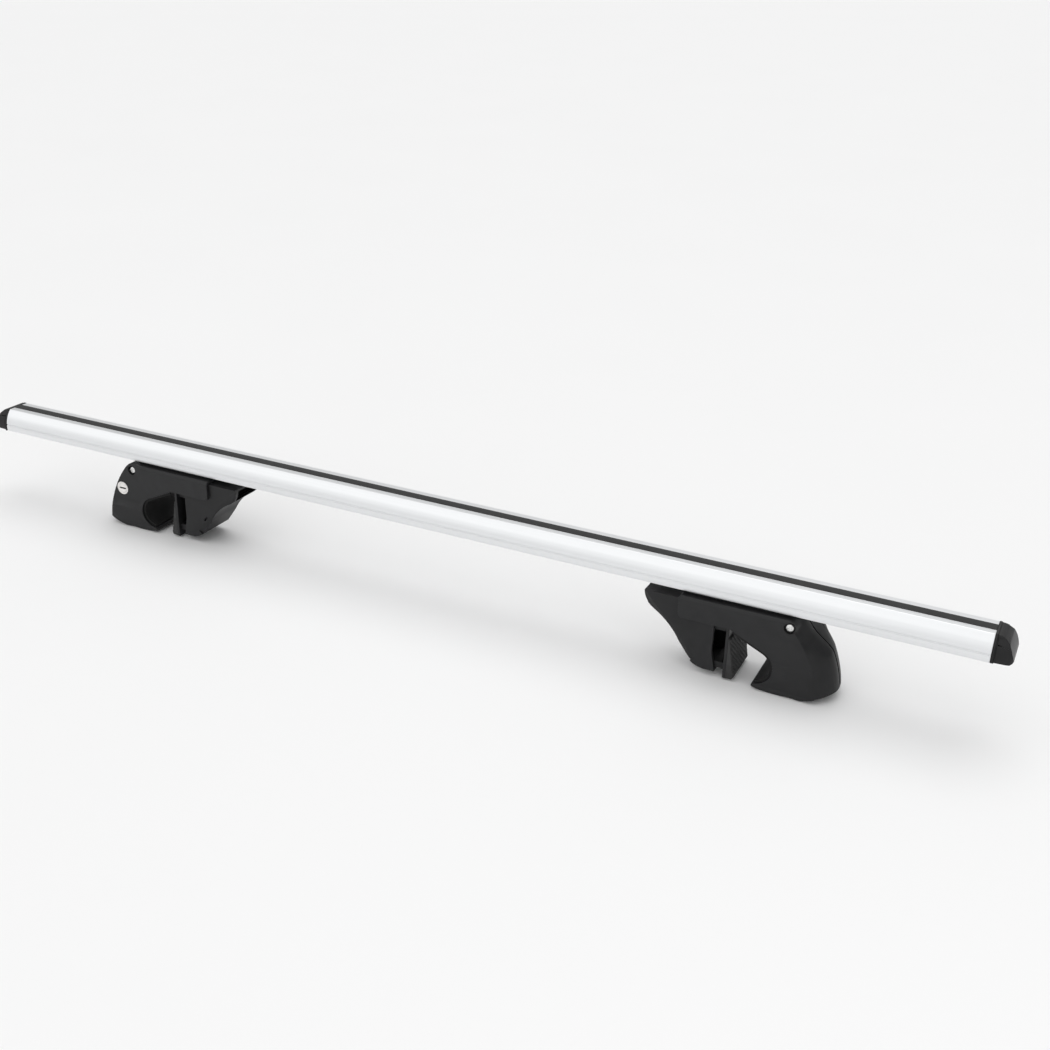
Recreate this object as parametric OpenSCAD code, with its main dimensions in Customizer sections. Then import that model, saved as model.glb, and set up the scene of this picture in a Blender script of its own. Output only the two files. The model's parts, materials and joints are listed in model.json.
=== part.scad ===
// Roof rack crossbar: a hollow aluminium bar on two clamping feet for a roof rail.
// The bar lies along X. The feet stand on Z = 0, and the origin is under the bar's middle.

/* [Bar] */
// Length of the aluminium extrusion
bar_len = 1200; // [1050:10:1500]
// Width of the section at its widest
bar_w = 44.7; // [43:0.1:50]
// Height of the section
bar_h = 26; // [25:0.5:30]
// Radius of each bulging side
side_r = 29.35; // [27:0.05:34]
// Height of the widest line above the underside
widest_z = 5; // [3:0.5:7]
// Thickness of the outer skin
wall = 2; // [1.5:0.1:2.2]
// Thickness of the inner webs
web = 1.6; // [1.2:0.1:2]
// Height of the thin groove along each side
groove_z = 8; // [6:0.5:12]
// Radius of the thin groove
groove_r = 0.6; // [0.3:0.1:1]

/* [Top slot and strip] */
// Width of the mouth of the top slot
slot_w = 11; // [8:0.5:12]
// Width of the top slot under its lips
slot_in_w = 20; // [16:0.5:21]
// Height of the top slot under its lips
slot_in_h = 8; // [6:0.5:9]
// Thickness of the lips
lip_t = 2.2; // [1.8:0.1:2.6]
// How far the rubber strip stands proud of the bar
strip_proud = 1; // [0.3:0.1:1.5]
// Width of the strip's foot under the lips
strip_foot_w = 16; // [13:0.5:19]
// Thickness of the strip's foot
strip_foot_t = 1.8; // [1:0.1:2.5]

/* [Bottom slot] */
// Width of the mouth of the bottom slot
foot_slot_w = 7; // [6.5:0.1:8]
// Width of the bottom slot above its lips
foot_slot_in_w = 14; // [13.4:0.1:15]
// Height of the bottom slot above its lips
foot_slot_in_h = 5.5; // [5:0.1:6]

/* [End caps] */
// Length of the cap outside the bar
cap_len = 20; // [14:1:26]
// Length of the straight rim of the cap
cap_rim = 6; // [4:0.5:9]
// How far the cap's plugs reach into the bar
plug_len = 18; // [10:1:30]

/* [Feet] */
// Distance from the bar's middle to the cross bolt of the right foot
right_foot_x = 418; // [380:1:440]
// Distance from the bar's middle to the cross bolt of the left foot
left_foot_x = 393; // [380:1:440]
// Height of the bar's underside above the soles
foot_h = 87; // [86:0.5:92]
// Width of the foot above its side crease
foot_w = 58.8; // [57:0.2:62]
// How far each side swells out under the crease
belly = 1.2; // [0.4:0.1:2]
// Depth of the side crease under the bar
crease_z = 50; // [44:1:54]
// Radius of the foot's outer end, seen from the side
end_r = 132; // [126:1:140]
// Reach of the foot's outer end past the cross bolt
end_reach = 40.3; // [39:0.1:43]
// Depth of the centre of the outer end's curve
end_drop = 93; // [90:1:96]
// Radius of the sole
sole_r = 94; // [88:1:110]
// Place of the sole's lowest line, inward of the cross bolt
sole_u = 7; // [4:0.5:10]
// Thickness of the rubber saddle between bar and foot
saddle_t = 3.3; // [2.5:0.1:4]
// Thickness of the foot's roof
roof_t = 3.3; // [3:0.1:3.6]
// Radius of the shallow edge between hook side and outer end
hook_edge_r = 16; // [14:0.5:20]
// How far that shallow edge starts inside the outer end
hook_edge_reach = 12.5; // [6:0.5:12.5]
// Radius of the edge between lock side and outer end
lock_edge_r = 1.5; // [0.5:0.1:2]

/* [Rail hook] */
// Radius of the roof rail that the hook takes
rail_r = 16; // [14:0.5:17]
// Place of the rail's axis, inward of the cross bolt
rail_u = 30.5; // [29:0.5:32]
// Depth of the rail's axis under the bar
rail_z = 60; // [59:0.5:61]
// Angle at which the ceiling leaves the rail seat
ramp_a = 65.5; // [63:0.5:68]
// Angle at which the lip leaves the rail seat
lip_a = -72; // [-76:1:-68]
// Thickness of the rubber liner
liner_t = 2.8; // [2:0.1:3.2]
// Start of the liner at the ceiling, inward of the cross bolt
liner_u = 55.5; // [50:0.5:56]
// Where the round tip of the hook begins, inward of the cross bolt
tip_u = 28.9; // [27.5:0.1:30]

/* [Arm] */
// Reach of the arm, inward of the cross bolt
arm_len = 113; // [108:1:120]
// Depth of the arm's underside under the bar
arm_z = 26.7; // [26.2:0.1:28]
// Radius of the arm's lower inner corner
arm_corner_r = 5; // [2:0.5:8]
// Width of the channel in which the jaw slides
channel_w = 51.6; // [51:0.1:52]
// End of the channel, inward of the cross bolt
channel_u = 42; // [38:0.5:43]
// Depth of the guide grooves in the channel's walls
guide_d = 1.8; // [1:0.1:2]
// Height of the guide rails on the jaw
guide_h = 3; // [2:0.5:4]
// Depth of the top of the guide rails under the bar
guide_z = 12; // [9:0.5:14]

/* [Jaw] */
// Place of the jaw's tip, inward of the cross bolt
jaw_tip_u = 150.6; // [148:0.2:154]
// Place of the jaw's face, inward of the cross bolt
jaw_face_u = 75.4; // [74:0.2:77]
// Depth of the jaw's underside under the bar
jaw_z = 80.4; // [79:0.2:82]
// Thickness of the jaw's side walls
jaw_wall = 4; // [3:0.2:5]
// Thickness of the jaw's lower skin
jaw_skin = 3; // [2:0.2:3.4]
// Thickness of the jaw's roof
jaw_roof_t = 2.2; // [1.6:0.2:2.6]
// Drop of the jaw's nose below its tip
nose_drop = 20.8; // [19:0.2:22]
// How far the jaw's nose lies behind its tip
nose_back = 10.9; // [10:0.1:12]
// Rise of the jaw's belly, from its underside to where its long hollow ends
belly_rise = 10.3; // [9:0.1:11]
// Length of the jaw's belly, from its face to where its long hollow ends
belly_l = 26.2; // [25:0.2:28]
// Play between sliding pieces
play = 0.3; // [0.2:0.05:0.4]

/* [Pad] */
// Gap between jaw and pad carrier
carrier_gap = 8; // [6:0.5:8.4]
// Thickness of the carrier's plate
carrier_t = 3; // [2:0.2:3.4]
// Depth of the top of the carrier under the bar
carrier_top = 28; // [27:0.5:32]
// Depth of the underside of the carrier under the bar
carrier_z = 85; // [83:0.5:86]
// Width of the carrier and of the pad
pad_w = 50; // [46:0.5:51]
// Depth of the top of the pad under the bar
pad_top = 40; // [38:0.5:46]
// Thickness of the pad at its lower edge
pad_t = 8; // [5:0.5:9]

/* [Clamp screw] */
// Diameter of the clamp screw
screw_d = 8; // [7:0.5:8]
// Depth of the clamp screw's axis under the bar
screw_z = 20.5; // [20.2:0.1:21]
// Reach of the clamp screw, inward of the cross bolt
screw_reach = 128; // [120:1:132]
// Diameter of the clamp screw's head
screw_head_d = 13; // [11:0.5:13]
// Length of the clamp screw's head
screw_head_h = 8; // [5:0.5:8]
// Size across the flats of the key that turns the clamp screw
screw_key = 6; // [4:0.5:6]
// How far the clamp screw can draw the jaw towards the hook
jaw_close = 16; // [15:0.5:18]
// Thickness of the thrust washer
thrust_t = 1.5; // [1:0.1:2]
// Diameter of the thrust washer
thrust_d = 16; // [14:0.5:16]
// Place of the seat of the thrust washer, inward of the cross bolt
thrust_u = 4; // [3.8:0.1:6]
// Length of the jaw nut
nut_l = 10; // [8:0.5:10]
// Width of the jaw nut
nut_w = 16; // [13:0.5:18]
// Height of the jaw nut
nut_h = 12.6; // [11:0.2:13]

/* [Cross bolt] */
// Diameter of the cross bolt
cross_d = 5; // [4:0.5:5]
// Depth of the cross bolt's axis under the bar
cross_z = 10.5; // [10.4:0.1:10.8]
// Diameter of the cross bolt's head
cross_head_d = 8; // [7:0.5:8.5]
// Diameter of the recess round each head
cross_recess_d = 11; // [9:0.5:11]
// Depth of the recess round each head
cross_recess = 3.5; // [3:0.1:3.5]

/* [End cover] */
// Thickness of the end cover
cover_t = 3; // [2.4:0.1:3.2]
// Edge of the cover on the hook side, from the foot's middle
cover_hook_v = 22.5; // [21:0.5:23]
// Edge of the cover on the lock side, from the foot's middle
cover_lock_v = 20; // [18:0.5:20]
// Depth of the cover's hinge pin under the bar
hinge_z = 15; // [14.6:0.1:16]
// Depth of the cover's lower edge under the bar
cover_z = 72; // [66:1:73]
// Diameter of the hinge pin
pin_d = 3; // [2:0.2:3.2]
// Width of the finger notch above the cover
notch_w = 24; // [16:1:26]
// Middle of the finger notch, from the foot's middle towards the lock
notch_v = -2; // [-4:0.5:4]

/* [Lock] */
// Diameter of the lock's face
lock_d = 16.3; // [15.2:0.1:16.4]
// Diameter of the turning plug
plug_d = 12; // [10:0.2:12.4]
// Distance of the lock's axis inside the foot's outer end
lock_inset = 10.6; // [10.4:0.1:11.2]
// Depth of the lock's axis under the bar
lock_z = 36.6; // [36:0.1:37]
// Radius of the lock's cam
cam_r = 6.2; // [5.5:0.1:6.3]
// Distance of the cam's flat from its axis
cam_flat = 3; // [2.4:0.1:3]

/* [Fastening to the bar] */
// Diameter of the bolts in the bottom slot
mount_d = 6; // [5:0.5:6]
// Place of the outer bolt, inward of the cross bolt
mount_outer_u = 25; // [24:0.5:28]
// Place of the inner bolt, inward of the cross bolt
mount_inner_u = 95; // [90:0.5:100]

/* [Hidden] */
$fn = 72;

black_plastic = [0.13, 0.13, 0.14];
rubber = [0.06, 0.06, 0.06];
zinc = [0.78, 0.78, 0.8];

// Far enough to cut right through a foot, and a little to cut past a face
far = 200;
past = 1;
slice_t = 0.5;
// Running clearance round a pin or shaft
run = 0.05;

// Each foot is drawn with U outward along the bar, V towards its lock and Z from the bar's underside
half_w = foot_w / 2;
belly_w = half_w + belly;
roof_z = saddle_t + roof_t;
end_c = [end_reach - end_r, -end_drop];
sole_c = [-sole_u, sole_r - foot_h];
rail_c = [-rail_u, -rail_z];
bead_r = cover_t;
hinge_r = end_r - bead_r;
hinge_u = end_c.x + sqrt(hinge_r * hinge_r - pow(end_drop - hinge_z, 2));
jaw_half = channel_w / 2 - play;
jaw_in = jaw_half - jaw_wall;
// The jaw and its rails run under the roof with this much room
head_room = 0.4;
jaw_top = roof_z + head_room;
jaw_tip = [-jaw_tip_u, -jaw_top];
jaw_heel = [-jaw_face_u, -jaw_z];
jaw_nose = jaw_tip + [nose_back, -nose_drop];
jaw_bend = jaw_heel + [-belly_l, belly_rise];
// The carrier's plate stands this far in front of the jaw, and slides in by carrier_gap
face_gap = 5;
carrier_u = jaw_face_u - face_gap - carrier_gap;
pad_u = carrier_u - carrier_t;
// The beam across the jaw that holds the nut, with a fit all round the nut
nut_fit = 0.1;
beam_wall = 3;
beam_floor = 2;
beam_top = guide_z + guide_h;
beam_z = beam_top + nut_h + 2 * nut_fit + beam_floor;
nut_u = jaw_face_u + 6.6;
washer_t = 1.2;
mount_nut_h = 5;
mount_nut_af = 10;
bolt_fit = 0.4;
mount_end = roof_z + washer_t + mount_nut_h + 1.2;
lock_tail_r = 4;
lock_body_r = 7.2;
lock_rim_t = 1.5;
lock_seat_v = cover_lock_v + 1;
lock_u = end_c.x + sqrt(end_r * end_r - pow(end_drop - lock_z, 2)) - lock_inset;
cam_v = 9;
cam_t = 3;
cam_fit = 0.5;
cam_spigot_r = 2;
catch_w = 3.6;
// The cover's catch passes the edge of the lock's cam with a little to spare
catch_z = lock_z + cam_r + 1.2;
catch_h = 4;
// How far the cross bolt's shank reaches into its head and into the nut
cross_grip = 0.5;
pin_hook_v = cover_hook_v + 3;
pin_lock_v = cover_lock_v + 4;
top_box_z = bar_h - lip_t - slot_in_h - web;
top_box_w = slot_in_w + 2 * web;
foot_box_w = foot_slot_in_w + 2 * web;
foot_box_z = wall + foot_slot_in_h + web;

function circle_through(a, b, c) =
    let (d = 2 * (a.x * (b.y - c.y) + b.x * (c.y - a.y) + c.x * (a.y - b.y)))
    [(a * a * (b.y - c.y) + b * b * (c.y - a.y) + c * c * (a.y - b.y)) / d,
     (a * a * (c.x - b.x) + b * b * (a.x - c.x) + c * c * (b.x - a.x)) / d];

// Points on the arc from a through b to c
function arc(a, b, c, steps = 8) =
    let (o = circle_through(a, b, c), r = norm(a - o),
         from = atan2(a.y - o.y, a.x - o.x), turn = atan2(c.y - o.y, c.x - o.x) - from,
         left = cross(b - a, c - b) > 0,
         sweep = left && turn < 0 ? turn + 360 : !left && turn > 0 ? turn - 360 : turn)
    [for (i = [0:steps]) o + r * [cos(from + sweep * i / steps), sin(from + sweep * i / steps)]];

function on_circle(c, r, a) = c + r * [cos(a), sin(a)];

// Heights of the lip's two sides where the round tip begins
lip_top = on_circle(rail_c, rail_r + liner_t, lip_a);
tip_top_z = lip_top.y - (lip_top.x + tip_u) / tan(-lip_a);
tip_sole_z = sole_c.y - sqrt(sole_r * sole_r - pow(tip_u - sole_u, 2));
tip_r = (tip_top_z - tip_sole_z) / 2;

// A shape drawn in U and Z, made solid from v0 to v1
module side_solid(v0, v1) {
    translate([0, v1, 0]) rotate([90, 0, 0]) linear_extrude(v1 - v0) children();
}

// A shape drawn in V and Z, made solid from u0 to u1
module end_solid(u0, u1) {
    translate([u0, 0, 0]) rotate([90, 0, 90]) linear_extrude(u1 - u0) children();
}

module rod_v(u, z, r, v0, v1) {
    translate([u, v0, z]) rotate([-90, 0, 0]) cylinder(r = r, h = v1 - v0);
}

module rod_u(z, r, u0, u1) {
    translate([u0, 0, z]) rotate([0, 90, 0]) cylinder(r = r, h = u1 - u0);
}

module box(u0, u1, v0, v1, z0, z1) {
    translate([u0, v0, z0]) cube([u1 - u0, v1 - v0, z1 - z0]);
}

// What a fillet of radius r takes off the corner p, whose sides run along way
module corner_cut(p, r, way) {
    translate(p) mirror([way.x < 0 ? 1 : 0, 0]) mirror([0, way.y < 0 ? 1 : 0]) difference() {
        translate([-past, -past]) square(r + past);
        translate([r, r]) circle(r);
    }
}

// What rounds the edge between an arc about c, seen from the side, and the side face at v.
// The round starts at reach inside the arc, and is shallow where that is less than its radius.
module arc_edge_cut(c, arc_r, v, r, reach) {
    s = sign(v);
    translate([c.x, 0, c.y]) rotate([-90, 0, 0]) rotate_extrude()
        translate([arc_r - reach, v - s * r]) difference() {
            translate([0, s > 0 ? 0 : -r - past]) square(r + past);
            circle(r, $fn = 180);
        }
}

// The bulging side on one hand, drawn inward by inset
module side_disc(s, inset) {
    translate([s * (bar_w / 2 - side_r), widest_z]) circle(side_r - inset, $fn = 240);
}

// The bar's outline, drawn inward by inset
module section(inset) {
    intersection() {
        side_disc(1, inset);
        side_disc(-1, inset);
        translate([-bar_w, inset]) square([2 * bar_w, bar_h - 2 * inset]);
    }
}

// A slot's hollow: its mouth of width w through the lips and its room of width in_w behind them
module slot(w, in_w, in_h, lip, bottom) {
    lips = bottom ? -past : bar_h - lip - past / 2;
    room = bottom ? lip : bar_h - lip - in_h;
    translate([-w / 2, lips]) square([w, lip + 1.5 * past]);
    translate([-in_w / 2, room]) square([in_w, in_h]);
}

module top_slot() {
    slot(slot_w, slot_in_w, slot_in_h, lip_t, false);
}

module foot_slot() {
    slot(foot_slot_w, foot_slot_in_w, foot_slot_in_h, wall, true);
}

// The walls round both slots, and the two webs that join them
module slot_walls() {
    translate([-top_box_w / 2, top_box_z]) square([top_box_w, bar_h]);
    translate([-foot_box_w / 2, 0]) square([foot_box_w, foot_box_z]);
    for (s = [-1, 1])
        translate([s * (foot_box_w - web) / 2 - web / 2, 0]) square([web, bar_h - past]);
}

module groove_line(s) {
    lift = groove_z - widest_z;
    translate([s * (bar_w / 2 - side_r + sqrt(side_r * side_r - lift * lift)), groove_z])
        circle(groove_r, $fn = 24);
}

module bar_extrusion() {
    color([0.8, 0.81, 0.82]) end_solid(-bar_len / 2, bar_len / 2) difference() {
        section(0);
        difference() {
            section(wall);
            slot_walls();
        }
        top_slot();
        foot_slot();
        groove_line(1);
        groove_line(-1);
    }
}

module top_strip() {
    crown_r = 30;
    color(rubber) end_solid(-bar_len / 2, bar_len / 2) {
        intersection() {
            translate([-slot_w / 2, bar_h - lip_t]) square([slot_w, lip_t + strip_proud]);
            translate([0, bar_h + strip_proud - crown_r]) circle(crown_r, $fn = 360);
        }
        difference() {
            translate([-strip_foot_w / 2, bar_h - lip_t - strip_foot_t])
                square([strip_foot_w, strip_foot_t]);
            translate([0, bar_h - lip_t - strip_foot_t]) circle(strip_foot_t / 2, $fn = 24);
        }
    }
}

// One closed side chamber of the bar, drawn inward by the plug's clearance
module plug_side(s) {
    intersection() {
        section(wall + play);
        translate([s > 0 ? top_box_w / 2 + play : -bar_w - top_box_w / 2 - play, 0])
            square([bar_w, bar_h]);
    }
}

// A slice of the cap's body: how far out it lies, how much smaller it is, and what its top loses
module cap_slice(u, inset, top_loss) {
    end_solid(u - slice_t, u) intersection() {
        section(inset);
        translate([-bar_w, 0]) square([2 * bar_w, bar_h - top_loss]);
    }
}

// Cap of the right-hand end: its rim, its hood, which falls away outward, and the two plugs
module end_cap() {
    rim_t = 2.6;
    rim_proud = 0.5;
    // As shares of the length from the rim's straight part outward
    slices = [[0.5, 0.4, 2.4], [0.7, 0.6, 6], [0.85, 1.2, 12], [0.95, 2.6, 17.8], [1, 4.4, 21]];
    rim_slice = [0.3, 0.3];
    // Below this height the sides stand back under the hood's edge
    step_u = 3.4;
    step_z = bar_h - 2.1;
    step_in = 1;
    color(black_plastic) translate([bar_len / 2, 0, 0]) {
        intersection() {
            end_solid(0, rim_t) section(-rim_proud);
            box(0, rim_t, -bar_w, bar_w, 0, bar_h + strip_proud);
        }
        difference() {
            hull() {
                cap_slice(slice_t, 0, 0);
                cap_slice(cap_rim, rim_slice[0], rim_slice[1]);
                for (s = slices) cap_slice(s[0] * cap_len, s[1], s[2]);
            }
            end_solid(step_u, cap_len + past) difference() {
                translate([-bar_w, -past]) square([2 * bar_w, step_z + past]);
                intersection() {
                    side_disc(1, step_in);
                    side_disc(-1, step_in);
                }
            }
        }
        for (s = [-1, 1]) end_solid(-plug_len, 0) plug_side(s);
    }
}

module end_cap_left() {
    mirror([1, 0, 0]) end_cap();
}

module end_cap_right() {
    end_cap();
}

// Everything inward of the rail seat, drawn larger than the bare rail by grow
module rail_gap(grow) {
    r = rail_r + grow;
    ceiling = grow - liner_t - arm_z;
    top = on_circle(rail_c, r, ramp_a);
    low = on_circle(rail_c, r, lip_a);
    ramp_end = top + (ceiling - top.y) / cos(ramp_a) * [-sin(ramp_a), cos(ramp_a)];
    lip_end = low + 14 * [sin(lip_a), -cos(lip_a)];
    translate(rail_c) circle(r, $fn = 180);
    polygon([rail_c, top, ramp_end, [-far, ceiling], [-far, -far], [lip_end.x, -far], lip_end, low]);
}

module housing_side() {
    difference() {
        union() {
            intersection() {
                translate(end_c) circle(end_r, $fn = 720);
                translate(sole_c) circle(sole_r, $fn = 720);
                union() {
                    translate([-tip_u, -far]) square(far - saddle_t);
                    translate([-2 * tip_u, -rail_z]) square([far, rail_z - saddle_t]);
                }
            }
            translate([-tip_u, tip_sole_z + tip_r]) circle(tip_r);
            arm_side();
        }
        rail_gap(liner_t);
    }
}

module arm_side() {
    top_corner_r = 2;
    difference() {
        translate([-arm_len, -arm_z]) square([arm_len, arm_z - saddle_t]);
        corner_cut([-arm_len, -arm_z], arm_corner_r, [1, 1]);
        corner_cut([-arm_len, -saddle_t], top_corner_r, [1, -1]);
    }
}

// The foot seen along the bar: straight sides that swell below the crease
module belly_outline() {
    swell = 11;
    foot_edge = 3;
    half = [[half_w, 0], [half_w, -crease_z], [belly_w, -crease_z - swell],
        [belly_w, 3 * foot_edge - foot_h], [belly_w - foot_edge, -foot_h - past]];
    polygon(concat(half, [for (i = [len(half) - 1:-1:0]) [-half[i].x, half[i].y]]));
}

// The channel in which the jaw slides, its two grooves, and the tunnel of the clamp screw
module jaw_channel() {
    box(-far, -channel_u, -channel_w / 2, channel_w / 2, -far, -roof_z);
    box(-far, jaw_close - jaw_face_u, -channel_w / 2 - guide_d, channel_w / 2 + guide_d,
        -guide_z - guide_h - play, -guide_z + play);
    rod_u(-screw_z, screw_d / 2 + bolt_fit, -channel_u - past, 0);
    rod_u(-screw_z, thrust_d / 2 + 1, -thrust_u, hinge_u);
}

// Room round the heads of the bolts that hold the foot to the bar
module mount_holes() {
    nut_room = 16;
    room_z = mount_end + bolt_fit;
    for (u = [mount_outer_u, mount_inner_u])
        translate([-u, 0, -room_z]) cylinder(d = mount_d + bolt_fit, h = far);
    box(-channel_u - past, -mount_outer_u + nut_room / 2, -nut_room / 2, nut_room / 2,
        -room_z, -roof_z);
}

// The room behind the end cover, and the two cells under it
module end_rooms() {
    rib = 3;
    rib_v = -3;
    sill = 2;
    room_u = cross_recess_d / 2 - 2;
    room_z = lock_z - cam_r - 1;
    intersection() {
        box(room_u, far, -cover_lock_v, cover_lock_v - sill, -room_z, -roof_z - head_room);
        rod_v(end_c.x, end_c.y, end_r - cover_t, -far, far);
    }
    for (v = [[-cover_lock_v, rib_v - rib / 2], [rib_v + rib / 2, cover_lock_v - rib]])
        box(0, far, v[0], v[1], sill - cover_z, -room_z - rib);
    rod_v(lock_u, -lock_z, cam_r + cam_fit, cam_v - 1, cover_lock_v - rib);
}

// The stretch of the outer end that the cover takes up, from the hinge pin down to grow below it
module cover_field(grow) {
    out = [hinge_u - end_c.x, end_drop - hinge_z] / hinge_r;
    pin = [hinge_u, -hinge_z];
    polygon([pin, pin + 2 * end_reach * out, [far, -cover_z - grow], [0, -cover_z - grow]]);
}

// Where the end cover lies flush with the foot, and where its knuckle turns
module cover_seat() {
    seat_r = end_r - cover_t - play;
    difference() {
        side_solid(-cover_hook_v - play, cover_lock_v + play) cover_field(play);
        rod_v(end_c.x, end_c.y, seat_r, -far, far);
    }
    rod_v(hinge_u, -hinge_z, bead_r + 2 * play, -cover_hook_v - play, cover_lock_v + play);
    rod_v(hinge_u, -hinge_z, pin_d / 2, -pin_hook_v, pin_lock_v);
    // The finger notch above the knuckle
    box(hinge_u - 2 * bead_r, far, notch_v - notch_w / 2, notch_v + notch_w / 2,
        -hinge_z, -roof_z - head_room);
}

module lock_bore() {
    rod_v(lock_u, -lock_z, lock_body_r, lock_seat_v, far);
    rod_v(lock_u, -lock_z, lock_d / 2 + 2 * run, half_w - lock_rim_t, far);
    rod_v(lock_u, -lock_z, lock_tail_r + play, cam_v, far);
}

module cross_holes() {
    rod_v(0, -cross_z, cross_d / 2 + run, -far, far);
    for (v = [cross_recess - half_w - far, half_w - cross_recess])
        rod_v(0, -cross_z, cross_recess_d / 2, v, v + far);
}

module housing() {
    color(black_plastic) difference() {
        intersection() {
            side_solid(-belly_w, belly_w) housing_side();
            end_solid(-arm_len - past, end_reach + past) belly_outline();
        }
        // The rail seat is cut once more as one true cylinder
        rod_v(rail_c.x, rail_c.y, rail_r + liner_t, -far, far);
        arc_edge_cut(end_c, end_r, -belly_w, hook_edge_r, hook_edge_reach);
        arc_edge_cut(end_c, end_r, belly_w, lock_edge_r, lock_edge_r);
        jaw_channel();
        mount_holes();
        end_rooms();
        cover_seat();
        lock_bore();
        cross_holes();
    }
}

module hook_liner() {
    edge = 1.4;
    liner_v = half_w - edge;
    color(rubber) difference() {
        side_solid(-liner_v, liner_v) intersection() {
            difference() {
                rail_gap(liner_t);
                rail_gap(0);
            }
            union() {
                translate([-liner_u, -rail_z]) square([far, far]);
                translate([-tip_u, -far]) square([far, far]);
            }
        }
        // Between the channel's walls the liner leaves room for the pad and its carrier
        box(-far, -channel_u, -channel_w / 2 - play, channel_w / 2 + play, -rail_z, 0);
    }
}

module saddle_pad() {
    side_in = 10;
    end_in = 3;
    corner_r = 3;
    pad_v = half_w - side_in;
    color(rubber) difference() {
        box(end_in - arm_len, -end_in, -pad_v, pad_v, -saddle_t, 0);
        for (u = [mount_outer_u, mount_inner_u])
            translate([-u, 0, -saddle_t - past]) cylinder(d = mount_d + bolt_fit, h = saddle_t + 2 * past);
        for (u = [[end_in - arm_len, 1], [-end_in, -1]], s = [-1, 1])
            translate([0, 0, -saddle_t - past]) linear_extrude(saddle_t + 2 * past)
                corner_cut([u[0], s * pad_v], corner_r, [u[1], -s]);
    }
}

module end_cover() {
    catch_u = lock_u - cam_r - 0.8;
    tab_v = cam_v - cam_fit - 3;
    color(black_plastic) difference() {
        union() {
            intersection() {
                difference() {
                    rod_v(end_c.x, end_c.y, end_r, -cover_hook_v, cover_lock_v);
                    rod_v(end_c.x, end_c.y, end_r - cover_t, -far, far);
                }
                side_solid(-far, far) cover_field(0);
            }
            rod_v(hinge_u, -hinge_z, bead_r, -cover_hook_v, cover_lock_v);
            intersection() {
                union() {
                    box(catch_u, far, tab_v, cam_v - cam_fit, -catch_z - catch_h, -catch_z);
                    box(catch_u, catch_u + catch_w, tab_v, cam_v + cam_t, -catch_z - catch_h, -catch_z);
                }
                rod_v(end_c.x, end_c.y, end_r - cover_t / 2, -far, far);
            }
        }
        rod_v(hinge_u, -hinge_z, pin_d / 2 + run, -far, far);
    }
}

module hinge_pin() {
    color(zinc) rod_v(hinge_u, -hinge_z, pin_d / 2, -pin_hook_v, pin_lock_v);
}

// Pan head with a cross slot, its flat side at v = 0 and its crown along V
module pan_head() {
    h = 2.8;
    crown_r = 0.9 * cross_head_d;
    difference() {
        intersection() {
            rod_v(0, 0, cross_head_d / 2, 0, h);
            translate([0, h - crown_r, 0]) sphere(crown_r, $fn = 96);
        }
        for (a = [0, 90]) rotate([0, a, 0]) box(-2.2, 2.2, h - 1.3, h + past, -0.5, 0.5);
    }
}

module cross_bolt() {
    seat = half_w - cross_recess;
    color(zinc) translate([0, 0, -cross_z]) {
        rod_v(0, 0, cross_d / 2, -seat - cross_grip, seat + cross_grip);
        translate([0, seat, 0]) pan_head();
    }
}

module cross_nut() {
    seat = half_w - cross_recess;
    color(zinc) translate([0, 0, -cross_z]) mirror([0, 1, 0]) translate([0, seat, 0]) difference() {
        pan_head();
        rod_v(0, 0, cross_d / 2, -past, cross_grip);
    }
}

module lock_sleeve() {
    face = half_w;
    color([0.85, 0.83, 0.82]) difference() {
        union() {
            rod_v(lock_u, -lock_z, lock_body_r - run, lock_seat_v, face);
            rod_v(lock_u, -lock_z, lock_d / 2, face - lock_rim_t, face);
        }
        rod_v(lock_u, -lock_z, plug_d / 2 + run, lock_seat_v + lock_rim_t, face + past);
        rod_v(lock_u, -lock_z, lock_tail_r + run, 0, face);
    }
}

module lock_barrel() {
    slot_l = 9.6;
    slot_t = 1.8;
    slot_depth = 1.6;
    color([0.85, 0.83, 0.82]) difference() {
        union() {
            rod_v(lock_u, -lock_z, plug_d / 2, lock_seat_v + lock_rim_t, half_w);
            rod_v(lock_u, -lock_z, lock_tail_r, cam_v + cam_t, half_w - past);
            rod_v(lock_u, -lock_z, cam_spigot_r, cam_v - cam_fit, half_w - past);
        }
        box(lock_u - slot_l / 2, lock_u + slot_l / 2, half_w - slot_depth, half_w + past,
            -lock_z - slot_t / 2, -lock_z + slot_t / 2);
    }
}

// The cam's flat faces away from the hinge pin while the lock is open
module lock_cam() {
    way = atan2(hinge_z - lock_z, lock_u - hinge_u);
    color(zinc) difference() {
        rod_v(lock_u, -lock_z, cam_r, cam_v, cam_v + cam_t);
        rod_v(lock_u, -lock_z, cam_spigot_r, cam_v - past, cam_v + cam_t + past);
        translate([lock_u, 0, -lock_z]) rotate([0, -way, 0])
            box(cam_flat, 2 * cam_r, cam_v - past, cam_v + cam_t + past, -2 * cam_r, 2 * cam_r);
    }
}

module thrust_washer() {
    color(zinc) difference() {
        rod_u(-screw_z, thrust_d / 2, -thrust_u, thrust_t - thrust_u);
        rod_u(-screw_z, screw_d / 2 + run, -thrust_u - past, thrust_t - thrust_u + past);
    }
}

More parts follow.
